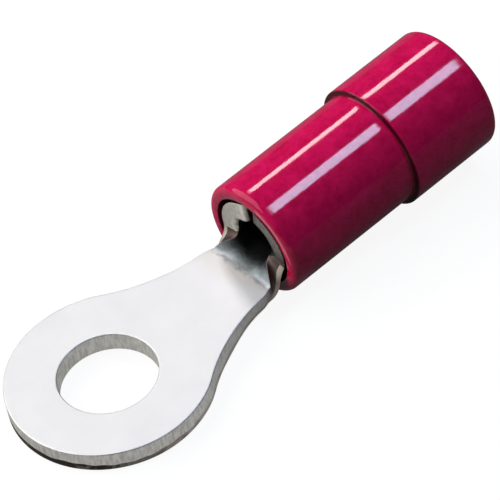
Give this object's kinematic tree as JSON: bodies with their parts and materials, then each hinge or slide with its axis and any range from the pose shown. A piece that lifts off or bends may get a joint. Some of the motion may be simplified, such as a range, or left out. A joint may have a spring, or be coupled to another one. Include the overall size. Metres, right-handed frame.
{
  "type": "ring terminal",
  "caption": "Insulated ring terminal: a stamped ring tongue with a stud hole, rolled at its other end into a slotted wire barrel inside a stepped plastic sleeve.",
  "frame": {"origin": "centre of the stud hole on the tongue's flat seating face (its underside)", "axes": "+X from the ring to the wire entry, +Z along the stud axis, away from the seating face"},
  "size_m": [0.0211, 0.0076, 0.0051],
  "materials": {
    "tinned_copper": "satin tin plating over copper",
    "sleeve_plastic": "glossy crimson vinyl"
  },
  "bodies": {
    "root": {"terminal": "tinned_copper", "sleeve": "sleeve_plastic"}
  },
  "joints": []
}
